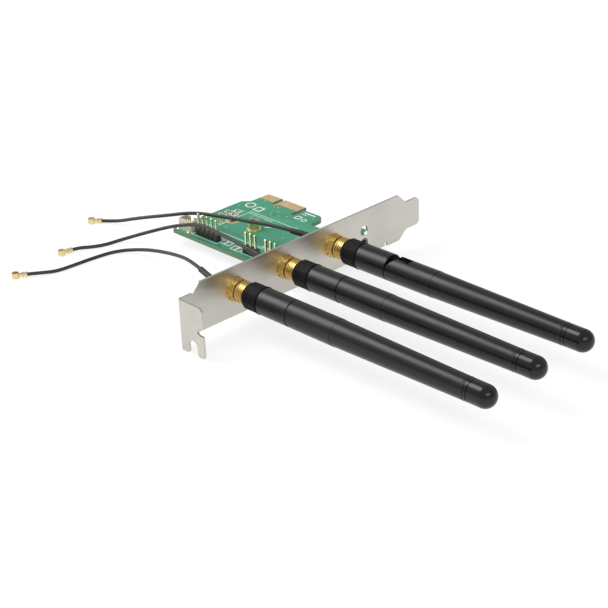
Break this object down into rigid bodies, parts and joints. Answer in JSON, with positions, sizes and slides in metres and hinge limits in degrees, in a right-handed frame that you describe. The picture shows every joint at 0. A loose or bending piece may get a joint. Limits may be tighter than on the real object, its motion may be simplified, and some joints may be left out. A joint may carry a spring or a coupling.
{
  "type": "wireless module adapter card",
  "caption": "Adapter card on a full-height slot bracket that takes a small wireless module, with screw-on hinged rod antennas outside and thin aerial leads with push-on plugs inside.",
  "frame": {"origin": "on the surface the card stands on, below the middle of the card and antennas, leads left out", "axes": "+X along the bracket from the bent tab to the tongue, which is also the way the board is pushed into its slot; +Y from the antennas to the rear edge of the board; +Z from the solder side to the component side"},
  "size_m": [0.126, 0.2265, 0.022],
  "materials": {
    "bracket_plate": "satin nickel plated",
    "board": "smooth solder mask",
    "contact_gold": "bright gold plated",
    "gold_plate": "bright gold plated",
    "pin_gold": "pale gold plated",
    "brass_turned": "turned",
    "screw_steel": "nickel plated",
    "hinge_steel": "plain",
    "socket_plastic": "moulded",
    "header_plastic": "moulded",
    "connector_plastic": "moulded",
    "capacitor_body": "ceramic",
    "resistor_body": "ceramic",
    "insulator": "white",
    "grip_plastic": "smooth",
    "antenna_plastic": "satin",
    "sleeve_rubber": "shrunk on",
    "lead_jacket": "smooth"
  },
  "bodies": {
    "card": {"board_screws": "screw_steel", "bracket": "bracket_plate", "capacitors": "capacitor_body", "circuit_board": "board", "collar_1": "grip_plastic", "collar_2": "grip_plastic", "collar_3": "grip_plastic", "corner_housing": "connector_plastic", "corner_pins": "pin_gold", "coupling_nut_1": "gold_plate", "coupling_nut_2": "gold_plate", "coupling_nut_3": "gold_plate", "edge_contacts": "contact_gold", "jack_1": "gold_plate", "jack_2": "gold_plate", "jack_3": "gold_plate", "jack_contacts": "gold_plate", "jack_insulators": "insulator", "jumper_bases": "header_plastic", "jumper_pins": "pin_gold", "lead_1": "lead_jacket", "lead_2": "lead_jacket", "lead_3": "lead_jacket", "lock_washers": "gold_plate", "module_screw": "screw_steel", "module_standoff": "brass_turned", "panel_nuts": "gold_plate", "plated_rings": "contact_gold", "plug_1": "contact_gold", "plug_2": "contact_gold", "plug_3": "contact_gold", "plug_cores": "insulator", "resistors": "resistor_body", "sleeve_1": "sleeve_rubber", "sleeve_2": "sleeve_rubber", "sleeve_3": "sleeve_rubber", "socket_contacts": "contact_gold", "socket_housing": "socket_plastic", "swivel_spindles": "gold_plate", "usb_header_base": "header_plastic", "usb_header_pins": "pin_gold"},
    "antenna_1_base": {"antenna_base_1": "antenna_plastic"},
    "antenna_1_rod": {"knuckle_1": "antenna_plastic", "hinge_pin_1": "hinge_steel", "radome_1": "antenna_plastic", "tip_cap_1": "antenna_plastic", "radiator_1": "brass_turned"},
    "antenna_2_base": {"antenna_base_2": "antenna_plastic"},
    "antenna_2_rod": {"knuckle_2": "antenna_plastic", "hinge_pin_2": "hinge_steel", "radome_2": "antenna_plastic", "tip_cap_2": "antenna_plastic", "radiator_2": "brass_turned"},
    "antenna_3_base": {"antenna_base_3": "antenna_plastic"},
    "antenna_3_rod": {"knuckle_3": "antenna_plastic", "hinge_pin_3": "hinge_steel", "radome_3": "antenna_plastic", "tip_cap_3": "antenna_plastic", "radiator_3": "brass_turned"}
  },
  "joints": [
    {"name": "antenna_1_swivel", "type": "hinge", "parent": "card", "child": "antenna_1_base", "pos_m": [-0.03426, 0.00795, 0.0135], "axis": [0, -1, 0], "continuous": true},
    {"name": "antenna_1_tilt", "type": "hinge", "parent": "antenna_1_base", "child": "antenna_1_rod", "pos_m": [-0.03426, -0.01115, 0.0135], "axis": [1, 0, 0], "range_deg": [0, 90]},
    {"name": "antenna_2_swivel", "type": "hinge", "parent": "card", "child": "antenna_2_base", "pos_m": [-0.01016, 0.00795, 0.0135], "axis": [0, -1, 0], "continuous": true},
    {"name": "antenna_2_tilt", "type": "hinge", "parent": "antenna_2_base", "child": "antenna_2_rod", "pos_m": [-0.01016, -0.01115, 0.0135], "axis": [1, 0, 0], "range_deg": [0, 90]},
    {"name": "antenna_3_swivel", "type": "hinge", "parent": "card", "child": "antenna_3_base", "pos_m": [0.01394, 0.00795, 0.0135], "axis": [0, -1, 0], "continuous": true},
    {"name": "antenna_3_tilt", "type": "hinge", "parent": "antenna_3_base", "child": "antenna_3_rod", "pos_m": [0.01394, -0.01115, 0.0135], "axis": [-1, 0, 0], "range_deg": [0, 90]}
  ]
}
